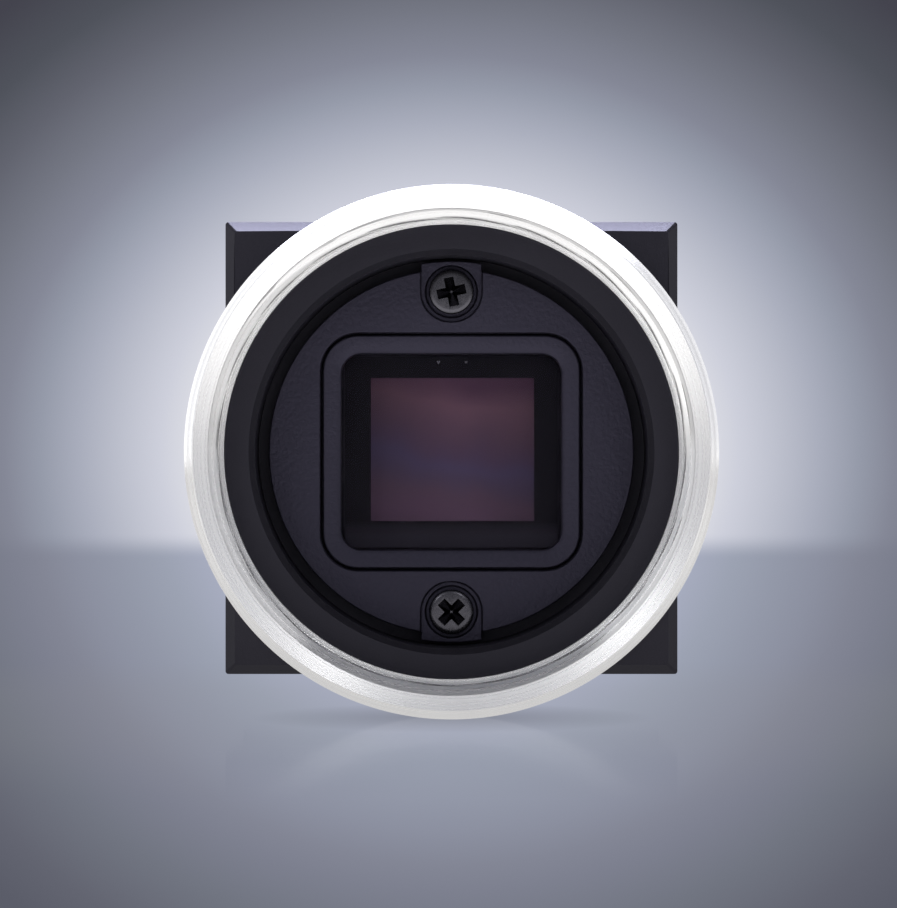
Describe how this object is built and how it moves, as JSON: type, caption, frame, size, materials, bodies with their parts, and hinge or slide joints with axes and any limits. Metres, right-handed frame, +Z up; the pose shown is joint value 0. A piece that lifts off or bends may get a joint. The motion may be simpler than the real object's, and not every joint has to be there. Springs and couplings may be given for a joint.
{
  "type": "machine vision camera",
  "caption": "Square-bodied machine vision camera with a bare aluminium C-mount lens ring in front, a network jack and a small signal header behind, and tapped mounting holes above and below.",
  "frame": {"origin": "centre of the lens flange face, on the optical axis", "axes": "+Y along the optical axis from the lens side to the connectors, +Z up, +X to the right for someone looking into the lens mount"},
  "size_m": [0.028, 0.0437, 0.028],
  "materials": {
    "machined_aluminium": "turned, bare",
    "black_anodised": "fine matte anodised",
    "black_retainer": "matte anodised",
    "black_steel": "black oxide",
    "filter_coating": "polished, coated",
    "cover_glass": "polished",
    "silicon": "polished die",
    "package_ceramic": "matte",
    "solder_mask": "satin",
    "chip_plastic": "matte",
    "ferrite": "matte",
    "black_rubber": "matte",
    "nickel_brass": "nickel plated",
    "plated_shield": "nickel plated",
    "black_plastic": "moulded",
    "gold_plating": "gold plated",
    "clear_plastic": "clear"
  },
  "bodies": {
    "root": {"c_mount_ring": "machined_aluminium", "front_housing": "black_anodised", "case_sleeve": "black_anodised", "rear_plate": "black_anodised", "filter_retainer": "black_retainer", "retainer_screws": "black_steel", "rear_plate_screws": "black_steel", "filter_gasket": "black_rubber", "filter_seal": "black_rubber", "filter_glass": "filter_coating", "sensor_cover_glass": "cover_glass", "sensor_package": "package_ceramic", "sensor_die": "silicon", "sensor_board": "solder_mask", "processor_board": "solder_mask", "network_board": "solder_mask", "io_board": "solder_mask", "front_standoffs": "nickel_brass", "middle_standoffs": "nickel_brass", "rear_standoffs": "nickel_brass", "front_board_connector": "black_plastic", "rear_board_connector": "black_plastic", "processor_chip": "chip_plastic", "memory_chip": "chip_plastic", "network_chip": "chip_plastic", "power_transformer": "ferrite", "jack_shield": "plated_shield", "jack_insulator": "black_plastic", "jack_light_pipes": "clear_plastic", "jack_contacts": "gold_plating", "io_header": "black_plastic", "io_header_pins": "gold_plating", "io_riser_pins": "gold_plating", "io_riser_base": "black_plastic", "status_led": "clear_plastic", "status_light_pipe": "clear_plastic"}
  },
  "joints": []
}
